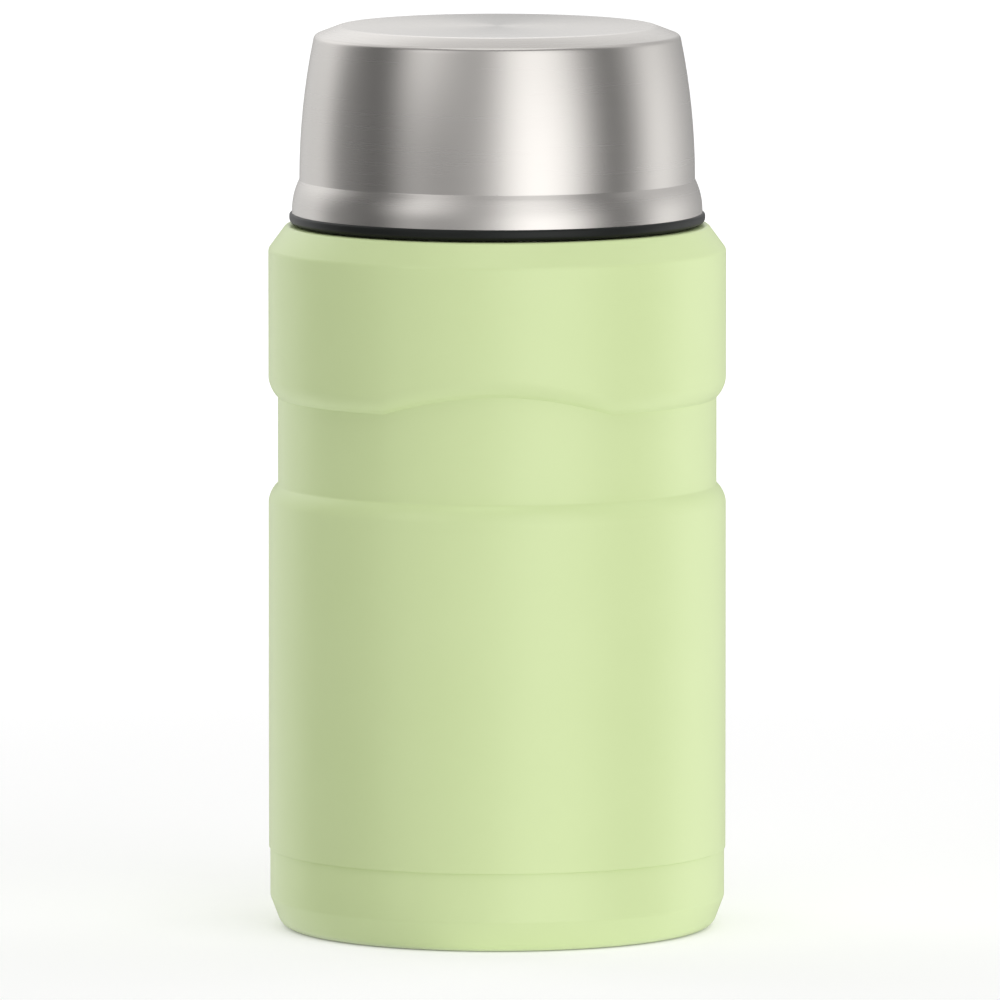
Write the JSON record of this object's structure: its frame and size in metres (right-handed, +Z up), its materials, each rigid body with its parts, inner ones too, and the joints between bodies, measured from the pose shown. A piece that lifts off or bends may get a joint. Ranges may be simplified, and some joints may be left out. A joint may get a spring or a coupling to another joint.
{
  "type": "insulated food jar",
  "caption": "Vacuum-walled steel food jar with an arched recessed band, a screw-in insulated stopper and a screw-on steel serving bowl as its lid.",
  "frame": {"origin": "on the floor, at the middle of the base", "axes": "+Z up along the jar's axis; -Y is the front, where the band's upper lip arches"},
  "size_m": [0.102, 0.102, 0.2014],
  "materials": {
    "painted_steel": "fine matte powder coat, pale green",
    "bare_steel": "spun, fine brushed lines round the axis",
    "vessel_steel": "electropolished satin",
    "brushed_bowl_steel": "fine brushed lines round the axis",
    "solder": "bright",
    "getter_alloy": "sintered, matte",
    "foil": "bright, lightly creased",
    "foam": "white bead foam",
    "silicone": "translucent matte",
    "black_plastic": "satin black",
    "grey_plastic": "satin dark grey"
  },
  "bodies": {
    "vessel": {"outer_shell": "painted_steel", "base_cup": "painted_steel", "base_disc": "bare_steel", "vacuum_seal_bead": "solder", "getter": "getter_alloy", "getter_clip": "bare_steel", "threaded_neck": "bare_steel", "inner_vessel": "vessel_steel", "radiation_foil": "foil"},
    "stopper_core": {"stopper_foam": "foam"},
    "stopper_ring": {"stopper_seal": "silicone"},
    "stopper": {"stopper_body": "black_plastic", "stopper_cup": "grey_plastic"},
    "bowl_core": {"bowl_foam": "foam"},
    "bowl_inner": {"bowl_liner": "vessel_steel"},
    "bowl": {"bowl_collar": "black_plastic", "bowl_shell": "brushed_bowl_steel"}
  },
  "joints": [
    {"name": "stopper_lift", "type": "slide", "parent": "vessel", "child": "stopper_core", "axis": [0, 0, 1], "range_m": [0, 0.06]},
    {"name": "stopper_rise", "type": "slide", "parent": "stopper_core", "child": "stopper_ring", "axis": [0, 0, 1], "range_m": [0, 0.005]},
    {"name": "stopper_turn", "type": "hinge", "parent": "stopper_ring", "child": "stopper", "pos_m": [0, 0, 0.16], "axis": [0, 0, 1], "range_deg": [0, 450]},
    {"name": "bowl_lift", "type": "slide", "parent": "stopper", "child": "bowl_core", "axis": [0, 0, 1], "range_m": [0, 0.06]},
    {"name": "bowl_rise", "type": "slide", "parent": "bowl_core", "child": "bowl_inner", "axis": [0, 0, 1], "range_m": [0, 0.005]},
    {"name": "bowl_turn", "type": "hinge", "parent": "bowl_inner", "child": "bowl", "pos_m": [0, 0, 0.16], "axis": [0, 0, 1], "range_deg": [0, 450]}
  ],
  "couplings": [
    {"joint": "stopper_rise", "follows": "stopper_turn", "m_per_rad": 0.00063662},
    {"joint": "bowl_rise", "follows": "bowl_turn", "m_per_rad": 0.00063662}
  ]
}
